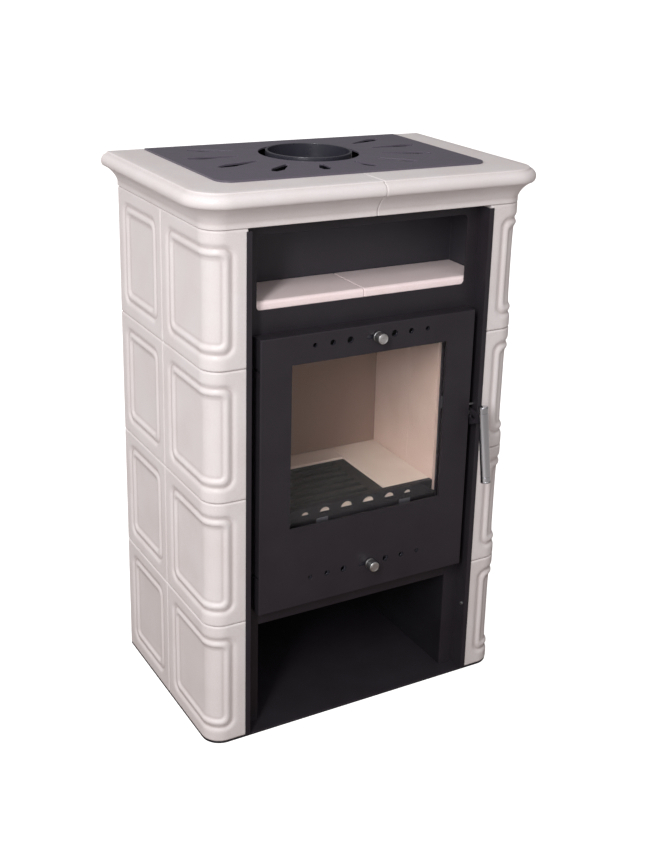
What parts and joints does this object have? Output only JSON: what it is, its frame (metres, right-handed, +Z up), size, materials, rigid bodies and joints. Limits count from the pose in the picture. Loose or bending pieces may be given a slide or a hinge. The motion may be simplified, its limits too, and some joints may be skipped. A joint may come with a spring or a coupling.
{
  "type": "tiled wood stove",
  "caption": "Free-standing wood stove with glazed tiles, moulded cornice, steel fire door with a window, air slides, warming niche, wood store and top flue collar.",
  "frame": {"origin": "centre of the underside of the base plate, on the floor", "axes": "+Z up, -Y out of the stove's front, +X to the right seen from the front"},
  "size_m": [0.6436, 0.4332, 0.9607],
  "materials": {
    "glaze": "gloss glazed ceramic",
    "dark_paint": "fine-textured matt stove paint",
    "plate_paint": "satin stove paint",
    "stove_steel": "matt heat-proof paint",
    "cast_iron": "as cast",
    "stainless": "turned, satin",
    "zinc_steel": "zinc plated",
    "fire_brick": "matt fired clay",
    "insulation": "pressed board",
    "seal": "glass fibre",
    "window_glass": "clear heat-proof glass"
  },
  "bodies": {
    "stove": {"ash_pan": "zinc_steel", "back_brick": "fire_brick", "back_panel": "dark_paint", "baffle": "insulation", "base_plate": "dark_paint", "corner_tile_left_1": "glaze", "corner_tile_left_2": "glaze", "corner_tile_left_3": "glaze", "corner_tile_left_4": "glaze", "corner_tile_right_1": "glaze", "corner_tile_right_2": "glaze", "corner_tile_right_3": "glaze", "corner_tile_right_4": "glaze", "cornice_left": "glaze", "cornice_right": "glaze", "firebox_body": "stove_steel", "flat_tile_left_1": "glaze", "flat_tile_left_2": "glaze", "flat_tile_left_3": "glaze", "flat_tile_left_4": "glaze", "flat_tile_right_1": "glaze", "flat_tile_right_2": "glaze", "flat_tile_right_3": "glaze", "flat_tile_right_4": "glaze", "floor_bricks": "fire_brick", "flue_collar": "stove_steel", "frame_sides": "dark_paint", "front_panel": "dark_paint", "front_post_left": "dark_paint", "front_post_right": "dark_paint", "grate": "cast_iron", "hinge_brackets": "dark_paint", "hinge_pins": "zinc_steel", "latch_catch": "stainless", "log_retainer": "stove_steel", "niche_box": "dark_paint", "post_screws": "zinc_steel", "rear_insulation": "insulation", "shelf_tile_left": "glaze", "shelf_tile_right": "glaze", "side_bricks": "fire_brick", "top_plate": "plate_paint", "wood_store_liner": "dark_paint"},
    "door": {"door_panel": "dark_paint", "door_back_frame": "dark_paint", "door_gasket": "seal", "door_glass": "window_glass", "glass_gasket": "seal", "glass_clips": "zinc_steel", "glass_screws": "zinc_steel", "slide_guides": "zinc_steel", "hinge_ears": "dark_paint", "handle_pivot_pin": "stainless"},
    "upper_slide": {"upper_air_slide": "stove_steel", "upper_air_knob": "stainless"},
    "lower_slide": {"lower_air_slide": "stove_steel", "lower_air_knob": "stainless"},
    "latch": {"latch_lever": "dark_paint", "handle_grip": "stainless", "grip_caps": "stainless"}
  },
  "joints": [
    {"name": "door_hinge", "type": "hinge", "parent": "stove", "child": "door", "pos_m": [-0.196, -0.17475, 0.4765], "axis": [0, 0, -1], "range_deg": [0, 110]},
    {"name": "latch_pivot", "type": "hinge", "parent": "door", "child": "latch", "pos_m": [0.211, -0.17475, 0.522], "axis": [-1, 0, 0], "range_deg": [0, 30]},
    {"name": "upper_air_slide_joint", "type": "slide", "parent": "door", "child": "upper_slide", "axis": [1, 0, 0], "range_m": [-0.0166, 0]},
    {"name": "lower_air_slide_joint", "type": "slide", "parent": "door", "child": "lower_slide", "axis": [1, 0, 0], "range_m": [-0.0166, 0]}
  ]
}
